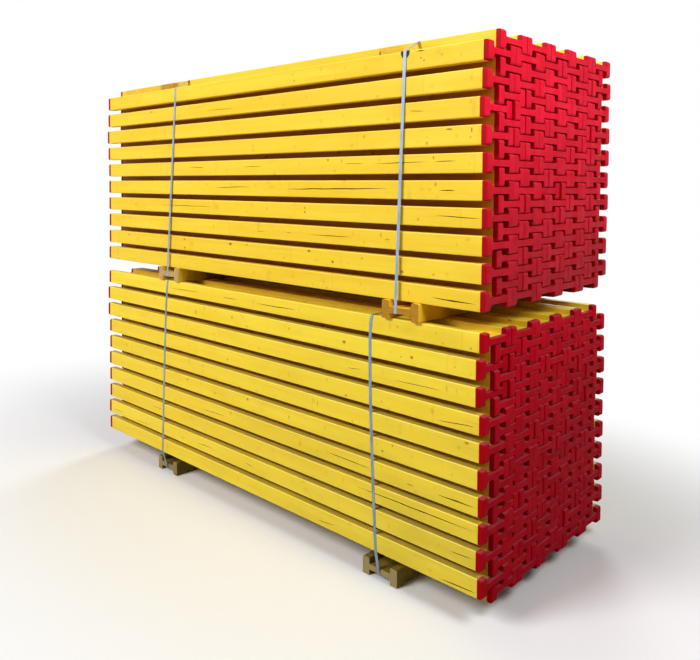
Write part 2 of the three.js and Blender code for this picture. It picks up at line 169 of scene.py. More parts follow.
# The knots of the front beams, by layer: where each is along X, then in millimetres its height
# above the beam's middle and its half width and half height, and how dark it is.
KNOTS = {
    "upper": {
        1: [(1.08, 1, 3, 12, 0.5), (0.572, 0, 4, 17, 0.4), (0.593, -27, 6, 5, 0.5),
            (0.059, -8, 4, 12, 0.4), (-0.62, -12, 7, 5, 0.4)],
        3: [(0.471, 27, 9, 6, 1.0), (0.63, -13, 7, 6, 0.9), (0.813, 16, 6, 5, 0.6),
            (0.292, -19, 5, 4, 0.6), (1.043, -23, 8, 7, 0.8), (1.207, -21, 6, 5, 0.6),
            (-0.569, 26, 7, 5, 0.8), (-0.57, -23, 7, 5, 0.8), (-0.139, 24, 11, 7, 1.0),
            (-0.002, 27, 6, 5, 0.7), (-1.191, 22, 8, 5, 0.8), (-0.5, 4, 22, 14, 0.3)],
        5: [(1.37, 24, 9, 7, 0.4), (1.319, 1, 4, 4, 0.5), (0.825, -19, 3, 11, 0.5),
            (0.923, 18, 4, 11, 0.6), (-1.17, 20, 7, 5, 0.5), (-0.29, 4, 5, 11, 0.4)],
        7: [(0.44, -3, 5, 4, 0.9), (0.44, 16, 5, 4, 0.8), (1.125, -13, 6, 5, 0.6),
            (-0.262, 4, 14, 13, 0.4), (-1.1, 3, 14, 9, 0.35), (0.96, 18, 3, 7, 0.4)],
        9: [(1.212, 24, 5, 8, 0.7), (1.183, 3, 7, 6, 0.4), (0.2, 8, 22, 9, 0.3),
            (-0.357, 18, 12, 6, 0.35), (0.33, 22, 3, 6, 0.5)],
        11: [(0.595, 27, 5, 6, 0.8), (0.683, 20, 4, 7, 0.6), (0.641, -24, 9, 8, 0.35),
             (1.2, 24, 4, 7, 0.7), (-0.171, -9, 7, 5, 0.35), (0.4, 12, 4, 8, 0.4)],
        13: [(0.819, 17, 5, 7, 0.6), (0.747, -19, 8, 7, 0.4), (1.382, 20, 3, 9, 0.9),
             (1.376, -8, 4, 4, 0.6), (1.166, 0, 5, 4, 0.4), (1.166, -24, 6, 7, 0.6),
             (0.05, -20, 12, 8, 0.35)],
        15: [(0.547, -5, 12, 13, 0.3), (0.957, -22, 10, 8, 0.4), (1.375, 21, 4, 9, 0.5),
             (-0.162, -22, 9, 6, 0.4)],
        17: [(0.111, 27, 5, 5, 0.7), (0.896, -26, 7, 5, 0.5), (-0.927, 24, 8, 5, 0.7),
             (0.2, 20, 4, 6, 0.4)],
        19: [(0.349, 13, 4, 4, 0.6), (0.36, -17, 6, 5, 0.6), (1.13, 3, 4, 3, 0.9),
             (1.146, -9, 4, 4, 0.8), (1.235, 4, 7, 6, 0.5), (1.328, -5, 7, 7, 0.35),
             (0.7, 8, 7, 9, 0.3)],
        20: [(0.832, 14, 6, 16, 0.9), (-0.885, 13, 20, 12, 0.6)],
    },
    "lower": {
        2: [(1.209, -10, 12, 8, 0.35), (1.41, 4, 3, 5, 0.4), (-0.75, 4, 7, 12, 0.4)],
        4: [(0.357, 9, 5, 10, 0.35), (0.985, -8, 5, 12, 0.4), (1.252, 5, 6, 5, 0.5)],
        6: [(0.707, 7, 4, 14, 0.4), (0.1, -4, 6, 9, 0.35), (-0.3, 14, 5, 8, 0.4)],
        8: [(-0.134, 21, 4, 9, 0.7), (-0.033, 5.5, 4, 7, 0.4), (0.415, -3, 7, 12, 0.5),
            (0.94, 26, 3, 6, 0.4), (1.225, 14, 8, 12, 0.35)],
        10: [(-0.88, 24, 6, 5, 0.7), (-0.542, 21, 7, 6, 0.7), (-0.277, -6, 6, 5, 0.6),
             (0.009, 21, 8, 6, 0.8), (0.335, 0, 5, 9, 0.6), (0.944, -11, 6, 5, 0.9),
             (1.0, 27, 5, 4, 0.8), (1.31, -11, 4, 5, 0.5), (0.875, 27, 5, 4, 0.5)],
        12: [(-1.225, 8, 18, 10, 0.35), (-0.39, 20, 10, 9, 0.4), (0.536, 5, 4, 12, 0.6),
             (0.764, -28, 5, 4, 0.5), (1.379, 27, 9, 6, 0.9), (1.343, 0, 7, 8, 0.5),
             (1.041, -11, 5, 9, 0.4)],
        14: [(-0.164, -13, 6, 6, 0.6), (0.333, -2, 6, 14, 0.35), (0.597, 22, 5, 7, 0.5),
             (0.721, -27, 5, 5, 0.9), (1.21, 10, 8, 11, 0.5), (0.937, -8, 5, 8, 0.5)],
        16: [(-0.286, 0, 10, 6, 0.4), (0.94, 15, 3, 12, 0.4), (1.28, 10, 5, 16, 0.5),
             (1.329, 9, 3, 12, 0.4), (0.1, -18, 7, 6, 0.4)],
        18: [(-0.459, -8, 5, 12, 0.7), (-0.882, 24, 5, 5, 0.6), (-0.125, 6, 8, 7, 0.6),
             (0.331, 11, 5, 8, 0.6), (0.3, 20, 3, 5, 0.5), (0.707, 2, 8, 6, 1.0),
             (1.1, -3, 7, 6, 0.9), (1.041, -10, 4, 4, 0.6), (1.319, -5, 4, 3, 0.6)],
        20: [(0.405, 10, 4, 12, 0.4), (0.98, 6, 6, 13, 0.4), (1.021, 8, 5, 5, 0.6),
             (1.224, 10, 5, 4, 0.5), (1.392, -26, 5, 4, 0.7), (1.257, -26, 7, 5, 0.5)],
    },
}

# Where the front beams' timber ends on the right, by layer.
RIGHT_ENDS = {
    "upper": {1: 1.431, 3: 1.435, 5: 1.435, 7: 1.433, 9: 1.433, 11: 1.432, 13: 1.425,
              15: 1.416, 17: 1.426, 19: 1.430},
    "lower": {2: 1.4357, 4: 1.428, 6: 1.4357, 8: 1.434, 10: 1.430, 12: 1.4357, 14: 1.4345,
              16: 1.416, 18: 1.416, 20: 1.430},
}

SEED = 2402
dice = random.Random(SEED)


# ---- Meshes ----


def put_in_scene(name, data):
    thing = bpy.data.objects.new(name, data)
    bpy.context.scene.collection.objects.link(thing)
    return thing


def weld(mesh):
    """Joins a mesh's doubled points and turns its faces outwards."""
    welded = bmesh.new()
    welded.from_mesh(mesh)
    bmesh.ops.remove_doubles(welded, verts=welded.verts, dist=WELD)
    bmesh.ops.recalc_face_normals(welded, faces=welded.faces)
    welded.to_mesh(mesh)
    welded.free()


class Mesher:
    """Collects the faces of one piece. A face's tone picks its board's or cap's own colour, and
    its raw value is 1 where the wood is bare, as on a sawn end or inside a crack. A vertex's
    knot value rises from 0 in sound wood to 1 in the middle of a knot, and a face whose knots
    are placed this way has the drawn value 1."""

    def __init__(self):
        self.verts, self.faces, self.tones, self.raws = [], [], [], []
        self.knots, self.drawn = [], []

    def add(self, verts, faces, tones, raw=0.0, knots=None):
        """Faces between the vertices. tones has one value for each face."""
        base = len(self.verts)
        self.verts += [tuple(v) for v in verts]
        self.knots += knots or [0.0] * len(verts)
        self.faces += [tuple(base + i for i in face) for face in faces]
        self.tones += tones
        self.raws += [raw] * len(faces)
        self.drawn += [1.0 if knots else 0.0] * len(faces)

    def sweep(self, rings, tones, skip=(), loop=False):
        """Quads between rings of equal length. tones has one value for each side of a ring."""
        count = len(rings[0])
        spans = len(rings) if loop else len(rings) - 1
        faces, own = [], []
        for side in range(count):
            if side in skip:
                continue
            nxt = (side + 1) % count
            for r in range(spans):
                a = r * count
                b = (r + 1) % len(rings) * count
                faces.append((a + side, a + nxt, b + nxt, b + side))
                own.append(tones[side])
        self.add([p for ring in rings for p in ring], faces, own)

    def close(self, rings, tone, raw=0.0):
        """The faces over both ends of a sweep."""
        for ring in (rings[0], rings[-1]):
            self.add(ring, [tuple(range(len(ring)))], [tone], raw)

    def solid(self, rings, tone=0.5):
        """A closed solid through the rings, all in one tone."""
        self.sweep(rings, [tone] * len(rings[0]))
        self.close(rings, tone)

    def build(self, name, material, slot, *nodes, sharp=SHARP_OVER):
        mesh = bpy.data.meshes.new(name)
        mesh.from_pydata(self.verts, [], self.faces)
        for label, values in (("tone", self.tones), ("raw", self.raws), ("drawn", self.drawn)):
            mesh.attributes.new(label, "FLOAT", "FACE").data.foreach_set("value", values)
        mesh.attributes.new("knot", "FLOAT", "POINT").data.foreach_set("value", self.knots)
        weld(mesh)
        mesh.polygons.foreach_set("use_smooth", [True] * len(mesh.polygons))
        mesh.set_sharp_from_angle(angle=math.radians(sharp))
        mesh.materials.append(material)
        piece = put_in_scene(name, mesh)
        piece.modifiers.new("even_normals", "WEIGHTED_NORMAL").keep_sharp = True
        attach(piece, "root")
        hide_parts(*nodes)


def rounded(corners, steps):
    """A counterclockwise outline of corners (u, v, radius), each turned into an arc. Returns its
    points and their outward normals."""
    points, normals = [], []
    for i, (u, v, radius) in enumerate(corners):
        corner = Vector((u, v))
        arriving = (corner - Vector(corners[i - 1][:2])).normalized()
        leaving = (Vector(corners[(i + 1) % len(corners)][:2]) - corner).normalized()
        turn = math.atan2(arriving.cross(leaving), arriving.dot(leaving))
        side = math.copysign(1, turn)
        outward = Vector((arriving.y, -arriving.x))
        start = corner - arriving * radius * math.tan(abs(turn) / 2)
        centre = start - outward * radius * side
        for step in range(steps + 1):
            normal = Matrix.Rotation(turn * step / steps, 2) @ outward
            points.append(centre + normal * radius * side)
            normals.append(normal)
    return points, normals


def rounded_box(half_u, half_v, radius, steps):
    corners = [(-half_u, -half_v), (half_u, -half_v), (half_u, half_v), (-half_u, half_v)]
    return rounded([(u, v, radius) for u, v in corners], steps)


def beam_section(edge, fillet):
    """The corners of a beam that lies on its side, about its middle, with its web level."""
    outer, half, web = BEAM_DEPTH / 2, FLANGE_WIDTH / 2, WEB_THICKNESS / 2
    lower = [
        (-outer, -half, edge),
        (-WEB_REACH, -half, edge),
        (-WEB_REACH, -web, fillet),
        (WEB_REACH, -web, fillet),
        (WEB_REACH, -half, edge),
        (outer, -half, edge),
    ]
    return lower + [(-u, -v, radius) for u, v, radius in lower]


def part_tones(points, tones):
    """The tone of each side of a beam's outline: of its -u flange, its web or its +u flange."""
    picked = []
    for i, point in enumerate(points):
        u = (point.x + points[(i + 1) % len(points)].x) / 2
        picked.append(tones[1] if abs(u) < WEB_REACH + SLACK else tones[0 if u < 0 else 2])
    return picked


def sides_at(points, u):
    """The sides of an outline that lie on the line at u."""
    there = [abs(point.x - u) < SLACK for point in points]
    return [i for i in range(len(points)) if there[i] and there[(i + 1) % len(points)]]


def crack_points(x, z, length, width, depth, slope):
    """A crack along the grain: its upper lip, its lower lip and its bottom, tip to tip."""
    steps = max(4, round(length / CRACK_STEP))
    upper, lower, bottom = [], [], []
    for k in range(steps + 1):
        share = k / steps
        opening = 0.0 if k in (0, steps) else math.sin(math.pi * share) ** 0.7
        px = x + (share - 0.5) * length
        wander = noise.noise(Vector((px * 11, z * 90, 4.0))) * CRACK_WANDER * opening
        pz = z + (share - 0.5) * length * slope + wander
        uneven = 0.7 + 0.6 * abs(noise.noise(Vector((px * 37, z * 70, 0))))
        gap = width / 2 * opening * uneven
        upper.append((px, pz + gap))
        lower.append((px, pz - gap))
        bottom.append((px, pz, depth * opening))
    return upper, lower, bottom


def knot_rings(x, z, half_x, half_z, strength):
    """A knot's outline and a ring inside it, each with its points' knot value."""
    rings = []
    for share, value in KNOT_RINGS:
        ring = []
        for k in range(KNOT_POINTS):
            angle = 2 * math.pi * k / KNOT_POINTS
            uneven = 1 + 0.35 * noise.noise(Vector((x * 50, z * 50, k * 0.9)))
            reach = share * max(0.75, min(1.04, uneven))
            px = x + math.cos(angle) * half_x * reach
            ring.append((px, z + math.sin(angle) * half_z * reach))
        rings.append((ring, value * strength))
    return rings


def cracked_face(mesher, low, high, y, inward, cracks, knots, tone):
    """A flat upright face from low to high, (x, z), with cracks cut into it and knots drawn."""
    points = [low, (high[0], low[1]), high, (low[0], high[1])]
    values = [0.0] * len(points)
    edges = []
    for knot in knots:
        for ring, value in knot_rings(*knot):
            ids = range(len(points), len(points) + len(ring))
            edges += list(zip(ids, [*ids[1:], ids[0]]))
            points += ring
            values += [value] * len(ring)
        x, z, _, _, strength = knot
        points.append((x, z))
        values.append(strength)
    depths = [0.0] * len(points)
    for crack in cracks:
        upper, lower, bottom = crack_points(*crack)
        ids = range(len(points), len(points) + len(bottom))
        points += [(x, z) for x, z, _ in bottom]
        depths += [depth for _, _, depth in bottom]
        edges += list(zip(ids, ids[1:]))
        for lip in (upper, lower):
            chain = [ids[0], *range(len(points), len(points) + len(lip) - 2), ids[-1]]
            points += lip[1:-1]
            depths += [0.0] * (len(lip) - 2)
            edges += list(zip(chain, chain[1:]))
    values += [0.0] * (len(points) - len(values))
    outline, inside_only, nearest = [(0, 1, 2, 3)], 1, 1e-7
    flat_points = [Vector(p) for p in points]
    made = geometry.delaunay_2d_cdt(flat_points, edges, outline, inside_only, nearest)
    flat, _, faces, origins, _, _ = made
    deep = [max((depths[i] for i in origin), default=0.0) for origin in origins]
    dark = [max((values[i] for i in origin), default=0.0) for origin in origins]
    verts = [(p.x, y + inward * d, p.y) for p, d in zip(flat, deep)]
    sound = [f for f in faces if all(deep[i] == 0.0 for i in f)]
    opened = [f for f in faces if any(deep[i] > 0.0 for i in f)]
    mesher.add(verts, sound, [tone] * len(sound), knots=dark)
    mesher.add(verts, opened, [tone] * len(opened), raw=1.0, knots=dark)


def scattered_cracks(low, high, count):
    """Random cracks on a face, clear of each other."""
    cracks = []
    for _ in range(count * 3):
        length = dice.uniform(50, 330) * MM * dice.choice((0.6, 1.0, 1.0, 1.3))
        x = dice.uniform(low[0] + length / 2 + 30 * MM, high[0] - length / 2 - 30 * MM)
        z = dice.uniform(low[1] + CRACK_ROOM, high[1] - CRACK_ROOM)
        width, depth = dice.uniform(0.9, 2.4) * MM, dice.uniform(2.5, 5.0) * MM
        slope = dice.uniform(-0.012, 0.012)
        clear = all(
            abs(z - other[1]) > CRACK_ROOM
            or abs(x - other[0]) > (length + other[2]) / 2 + 20 * MM
            for other in cracks
        )
        if clear and len(cracks) < count:
            cracks.append((x, z, length, width, depth, slope))
    return cracks


def scattered_knots(low, high, count, placed=(), strongest=1.0):
    """Random knots on a face, clear of each other and of the placed ones."""
    knots = []
    for _ in range(count * 3):
        half_x, half_z = dice.uniform(3, 9) * MM, dice.uniform(4, 11) * MM
        x = dice.uniform(low[0] + 20 * MM, high[0] - 20 * MM)
        z = dice.uniform(low[1] + half_z * KNOT_REACH, high[1] - half_z * KNOT_REACH)
        others = (*knots, *placed)
        apart = all(abs(x - other[0]) > KNOT_APART + KNOT_REACH * other[2] for other in others)
        if apart and len(knots) < count:
            knots.append((x, z, half_x, half_z, dice.uniform(0.3, 1.0) * strongest))
    return knots


def placed_cracks(bundle, number, beam):
    """The cracks given for a front beam, kept off its ends."""
    cracks = []
    for start, end, rise_from, rise_to, width in CRACKS[bundle].get(number, []):
        start = max(start, beam.left + END_MARGIN)
        end = min(end, beam.right - END_MARGIN)
        length = end - start
        z = beam.z + (rise_from + rise_to) / 2 * MM
        slope = (rise_to - rise_from) * MM / length
        opening = CRACK_OPENING * width * MM
        cracks.append(((start + end) / 2, z, length, opening, CRACK_DEPTH * opening, slope))
    return cracks


def placed_knots(bundle, number, beam):
    """The knots given for a front beam."""
    room = FLANGE_WIDTH / 2 - TIMBER_EDGE - 0.5 * MM
    knots = []
    for x, rise, half_x, half_z, strength in KNOTS[bundle].get(number, []):
        half_z = min(half_z * MM, (room - abs(rise * MM)) / KNOT_REACH)
        knots.append((x, beam.z + rise * MM, half_x * MM, half_z, strength))
    return knots


def clear_of_cracks(knot, cracks):
    """The knot, made smaller where a crack is near, in a list that is empty if it has no room."""
    x, z, half_x, half_z, strength = knot
    for share in (1.0, 0.75, 0.55):
        reach_x, reach_z = half_x * share * KNOT_REACH, half_z * share * KNOT_REACH
        clear = all(
            abs(x - middle) > length / 2 + reach_x + 2 * MM
            or abs(z - height - (x - middle) * slope) > reach_z + 4 * MM
            for middle, height, length, _, _, slope in cracks
        )
        if clear:
            return [(x, z, half_x * share, half_z * share, strength)]
    return []


# ---- Materials ----


class Shader:
    """The node tree of a material or world. Each call adds nodes and returns the socket that
    they give."""

    def __init__(self, owner):
        owner.use_nodes = True
        self.owner = owner
        self.tree = owner.node_tree

    def feed(self, socket, value):
        if isinstance(value, bpy.types.NodeSocket):
            self.tree.links.new(value, socket)
        elif socket.type == "RGBA" and len(value) == 3:
            socket.default_value = (*value, 1.0)
        else:
            socket.default_value = value

    def add(self, kind, inputs, output=0, **settings):
        node = self.tree.nodes.new("ShaderNode" + kind)
        for key, value in settings.items():
            setattr(node, key, value)
        for key, value in inputs.items():
            self.feed(node.inputs[key], value)
        return node.outputs[output]

    def attribute(self, name):
        return self.add("Attribute", {}, "Fac", attribute_name=name)

    def place(self):
        return self.add("TexCoord", {}, "Object")

    def normal(self):
        return self.add("NewGeometry", {}, "Normal")

    def math(self, operation, *values, clamp=False):
        inputs = dict(enumerate(values))
        return self.add("Math", inputs, operation=operation, use_clamp=clamp)

    def times(self, a, b, clamp=False):
        return self.math("MULTIPLY", a, b, clamp=clamp)

    def plus(self, a, b):
        return self.math("ADD", a, b)

    def vector(self, operation, *values, output=0):
        inputs = dict(enumerate(values))
        return self.add("VectorMath", inputs, output, operation=operation)

    def scaled(self, vector, factors):
        return self.vector("MULTIPLY", vector, factors)

    def length(self, vector):
        return self.vector("LENGTH", vector, output="Value")

    def join(self, x, y, z):
        return self.add("CombineXYZ", {0: x, 1: y, 2: z})

    def split(self, vector):
        """The three coordinates of a vector."""
        return self.add("SeparateXYZ", {0: vector}).node.outputs

    def span(self, value, low, high, to_low, to_high):
        """value carried from low..high to to_low..to_high, smoothly, and held there."""
        inputs = {0: value, 1: low, 2: high, 3: to_low, 4: to_high}
        return self.add("MapRange", inputs, interpolation_type="SMOOTHSTEP")

    def rise(self, value, low, high, most=1.0):
        """0 up to low, and most from high on."""
        return self.span(value, low, high, 0.0, most)

    def fall(self, value, low, high, most=1.0):
        """most up to low, and 0 from high on."""
        return self.span(value, low, high, most, 0.0)

    def hump(self, value, up, down, most=1.0):
        """Grows from 0 to most over the stretch up of value, and falls back over down."""
        return self.times(self.rise(value, *up, most), self.fall(value, *down))

    def mix(self, share, a, b, blend="MIX"):
        settings = {"data_type": "RGBA", "blend_type": blend}
        return self.add("Mix", {0: share, 6: a, 7: b}, 2, **settings)

    def coats(self, colour, *coats):
        """The colour under coats of other colours, each with the share it hides, bottom first."""
        for share, coat in coats:
            colour = self.mix(share, colour, coat)
        return colour

    def noise(self, vector, scale=1.0, detail=2.0, roughness=0.5):
        inputs = {"Vector": vector, "Scale": scale, "Detail": detail, "Roughness": roughness}
        return self.add("TexNoise", inputs)

    def grain(self, vector, factors, detail=2.0):
        """Noise whose grains are long where a factor is small."""
        return self.noise(self.scaled(vector, factors), detail=detail)

    def spots(self, vector):
        """The distance to the nearest of the points scattered through space, one in each unit
        cube."""
        return self.add("TexVoronoi", {"Vector": vector, "Scale": 1.0}, "Distance")

    def chance(self, value, salt):
        """A random number from 0 to 1 that belongs to value."""
        mixed = self.math("MULTIPLY_ADD", value, 913.0, salt)
        return self.add("TexWhiteNoise", {"W": mixed}, noise_dimensions="1D")

    def shifted(self, vector, x, y, z):
        return self.vector("ADD", vector, self.join(x, y, z))

    def from_pith(self, place, pith, room):
        """The distance of place from a tree's pith, across the grain. The pith's coordinates,
        each from 0 to 1, say where it is in a room about the origin, which has no size along
        the grain."""
        centre = [0.5 if size else 0.0 for size in room]
        crosswise = [1.0 if size else 0.0 for size in room]
        pith = self.scaled(self.vector("SUBTRACT", pith, centre), room)
        return self.length(self.vector("SUBTRACT", self.scaled(place, crosswise), pith))

    def growth_rings(self, distance, per_metre, dark_from):
        """Growth rings that darken from the share dark_from of their width on."""
        ring = self.math("FRACT", self.times(distance, per_metre))
        return self.hump(ring, (dark_from, 0.9), (0.9, 1.0))

    def bump(self, height, strength, distance):
        inputs = {"Height": height, "Strength": strength, "Distance": distance}
        return self.add("Bump", inputs)

    def finish(self, node="Principled BSDF", **inputs):
        """Feeds a node that the tree came with, and returns the tree's owner."""
        for key, value in inputs.items():
            self.feed(self.tree.nodes[node].inputs[key.replace("_", " ")], value)
        return self.owner


KNOT_HALO = (0.58, 0.33, 0.010)
KNOT_HEART = (0.20, 0.105, 0.006)
JOINT = (0.35, 0.17, 0.01)
DULL_OLIVE = (0.46, 0.39, 0.035)
BROWN = (0.42, 0.17, 0.008)
# Painted highlight on the timber's rounded upper edges.
EDGE_HIGHLIGHT = (1.0, 0.86, 0.16)
# Painted shade in the caps' pockets.
POCKET_SHADE = (0.10, 0.012, 0.004)
DUST = (0.42, 0.30, 0.06)
# Painted shade inside the timber's cracks.
CRACK_SHADE = (0.045, 0.018, 0.003)
ORANGE_BROWN = (0.50, 0.235, 0.014)
BEIGE = (0.56, 0.35, 0.17)
GREY_BROWN = (0.37, 0.27, 0.12)
OLIVE = (0.16, 0.125, 0.018)
MOULD = (0.16, 0.06, 0.01)
BRIGHT_STEEL = (0.75, 0.78, 0.82)
CAP_FADING = (0.80, 0.6, 0.7)

# Stretches over which a look sets in or stops.
INSIDE = (0.495, 0.512)  # off the middle in Y; nearer faces are inside the bundle
POCKET_DEPTH = (0.44, 0.455)  # off the middle in Y; nearer timber lies in the caps' shade
POCKET_ENDS = (1.34, 1.40)  # off the middle in X; only timber further out does
TOP_BEAM_FRONT = (-0.50, -0.49)  # Y where the top front beam's brown sets in
TOP_BEAM_BACK = (-0.456, -0.45)  # Y where it stops
BROWN_EDGE = 0.05  # how long the brown takes along X
UPPER_FACE = (0.85, 0.97)  # Z of a normal


def board_lengths(s, tone, along, height):
    """Each board is pieced together from lengths of about 1.7 m. Gives a number that belongs to
    each length, and the zigzag of the finger joints between them."""
    length_at = s.math("MULTIPLY_ADD", along, 0.6, s.times(tone, 7.0))
    number = s.plus(tone, s.times(s.math("FLOOR", length_at), 0.37))
    from_ends = s.math("ABSOLUTE", s.math("SUBTRACT", s.math("FRACT", length_at), 0.5))
    zigzag = s.math("PINGPONG", s.times(height, 240.0), 1.0)
    return number, s.rise(s.plus(from_ends, s.times(zigzag, 0.0014)), 0.4992, 0.5, 0.15)


def timber_material(name, glaze, light, dark, recess_shade_tint, top, dust=0.0, low_right_darkening=0.0, brown=()):
    """Spruce under a yellow glaze, with its grain, knots, streaks and finger joints. top is the
    height of the bundle's uppermost faces. The colour darkens towards the ground and the right
    end. brown lists the darker stretches of the top front beam: where each starts and ends, and
    its strength. The tint of the faces inside the bundle is painted shade."""
    s = Shader(bpy.data.materials.new(name))
    tone, raw, knot, drawn = (s.attribute(label) for label in ("tone", "raw", "knot", "drawn"))
    place = s.place()
    along, across, height = s.split(place)
    board = s.shifted(place, s.times(tone, 61.0), s.times(tone, 37.0), tone)
    stock, joint = board_lengths(s, tone, along, height)

    # Knots push the rings aside.
    knots = s.spots(s.scaled(board, (8.5, 11.0, 11.0)))
    spikes = s.spots(s.scaled(board, (7.0, 3.0, 2.6)))
    pith = s.join(0.0, s.chance(stock, 1.7), s.chance(stock, 5.3))
    warped = s.plus(
        s.from_pith(place, pith, (0.0, 0.4, 0.5)),
        s.times(s.grain(board, (0.9, 3.0, 3.0)), 0.06),
    )
    ring = s.growth_rings(s.plus(warped, s.fall(knots, 0.0, 0.34, 0.011)), 190.0, 0.35)

    broad = s.grain(board, (0.7, 22.0, 22.0), 3.0)
    fine = s.grain(board, (9.0, 420.0, 420.0))
    patchy = s.grain(board, (3.0, 9.0, 9.0), 3.0)
    streaks = s.grain(board, (2.6, 150.0, 150.0), 1.0)
    mottled = s.grain(board, (14.0, 60.0, 60.0))

    halo = s.plus(s.fall(spikes, 0.03, 0.13, 0.4), s.fall(knots, 0.05, 0.16, 0.4))
    heart = s.times(s.fall(knots, 0.03, 0.075, 0.8), s.math("SUBTRACT", 1.0, drawn))
    colour = s.coats(
        s.mix(s.rise(broad, 0.34, 0.66), glaze, light),
        (s.times(ring, 0.22), dark),
        (s.rise(fine, 0.5, 0.8, 0.14), dark),
        (s.rise(patchy, 0.45, 0.75, 0.28), dark),
        (s.rise(s.chance(stock, 9.1), 0.0, 1.0, 0.2), dark),
        (s.rise(streaks, 0.68, 0.8, 0.35), KNOT_HALO),
        (s.times(halo, s.span(drawn, 0.0, 1.0, 1.0, 0.6), clamp=True), KNOT_HALO),
        (heart, KNOT_HEART),
    )

    foot = top - FLANGE_WIDTH
    on_beam = s.times(
        s.hump(across, TOP_BEAM_FRONT, TOP_BEAM_BACK),
        s.rise(height, foot + 1 * MM, foot + 3 * MM),
    )
    on_beam = s.times(on_beam, s.span(mottled, 0.38, 0.62, 0.6, 1.0))
    for start, end, strength in brown:
        sets_in, stops = (start, start + BROWN_EDGE), (end - BROWN_EDGE, end)
        stretch = s.hump(along, sets_in, stops, strength)
        colour = s.mix(s.times(stretch, on_beam), colour, BROWN)

    # Painted highlight: the rounded upper edges, which face up into the light, are lighter.
    upward = s.split(s.normal())[2]
    worn = s.hump(upward, (0.15, 0.5), UPPER_FACE)
    # Darker towards the ground and the right end.
    low = s.span(height, 0.0, 1.2, 0.5 * low_right_darkening, 0.15 * low_right_darkening)
    darkened_low_right = s.times(low, s.span(along, -1.0, 1.5, 0.1, 1.0))
    colour = s.coats(
        colour,
        (s.rise(knot, 0.0, 0.8, 0.85), KNOT_HALO),
        (s.rise(knot, 0.35, 0.95, 0.9), KNOT_HEART),
        (joint, JOINT),
        (s.times(darkened_low_right, s.span(patchy, 0.2, 0.8, 0.6, 1.4)), DULL_OLIVE),
        (s.times(worn, 0.5), EDGE_HIGHLIGHT),
    )

    # Painted shade: the faces inside the bundle, in the gaps between the beams, are darkened.
    depth = s.math("ABSOLUTE", across)
    below_top = s.fall(height, foot - 2 * MM, foot + 1 * MM)
    inside = s.times(s.fall(depth, *INSIDE), below_top)
    colour = s.mix(inside, colour, recess_shade_tint, "MULTIPLY")
    # Painted shade: timber deep in the caps' pockets near the ends is darkened.
    near_end = s.rise(s.math("ABSOLUTE", along), *POCKET_ENDS)
    pocket_shade = s.times(s.fall(depth, *POCKET_DEPTH), near_end)
    settled = s.times(s.rise(upward, *UPPER_FACE), s.span(patchy, 0.3, 0.6, 0.6 * dust, dust))
    colour = s.coats(
        colour,
        (s.times(pocket_shade, below_top), POCKET_SHADE),
        (s.times(settled, below_top), DUST),
        # Painted shade: the insides of cracks are nearly black.
        (raw, CRACK_SHADE),
    )
    return s.finish(
        Base_Color=colour,
        Roughness=s.span(patchy, 0.3, 0.7, 0.46, 0.6),
        Specular_IOR_Level=0.3,
        Normal=s.bump(s.plus(s.times(ring, 0.5), s.times(fine, 0.7)), 0.25, 0.4 * MM),
    )


def cap_material(name, red, pale, deep, side, dust, dust_colour, shade_heights, shine):
    """Moulded plastic, each cap faded a little differently, with scuffs and settled dust. From the
    first of the given heights up to the second it goes from the deep colour to the full red, a
    painted shade that darkens each end towards the bottom."""
    s = Shader(bpy.data.materials.new(name))
    tone, place = s.attribute("tone"), s.place()
    board = s.shifted(place, s.times(tone, 31.0), tone, 0.0)
    cloud = s.noise(board, 21.0, 3.0)
    grit = s.noise(board, 600.0)
    scuffs = s.grain(board, (90.0, 12.0, 160.0))
    height = s.split(place)[2]
    # Painted shade: the red darkens towards the bottom of each end.
    light_by_height = s.add("MapRange", {0: height, 1: shade_heights[0], 2: shade_heights[1]})
    colour = s.mix(light_by_height, deep, red)
    darker = s.mix(1.0, colour, CAP_FADING, "MULTIPLY")
    # Painted shade: the sides, which face across the end, are darker than the outer face.
    outward, _, upward = s.split(s.normal())
    aside = s.fall(s.math("ABSOLUTE", outward), 0.35, 0.9)
    colour = s.coats(
        colour,
        (s.rise(s.chance(tone, 2.9), 0.0, 1.0, 0.8), darker),
        (s.rise(cloud, 0.35, 0.7, 0.5), darker),
        (s.rise(scuffs, 0.66, 0.8, 0.4), pale),
        (s.times(aside, 0.8), side),
        (s.times(s.rise(upward, 0.3, 0.95), dust), dust_colour),
    )
    return s.finish(
        Base_Color=colour,
        Roughness=s.span(cloud, 0.3, 0.7, 0.42, 0.56),
        Specular_IOR_Level=shine,
        Normal=s.bump(s.plus(s.times(grit, 0.3), cloud), 0.2, 0.5 * MM),
    )


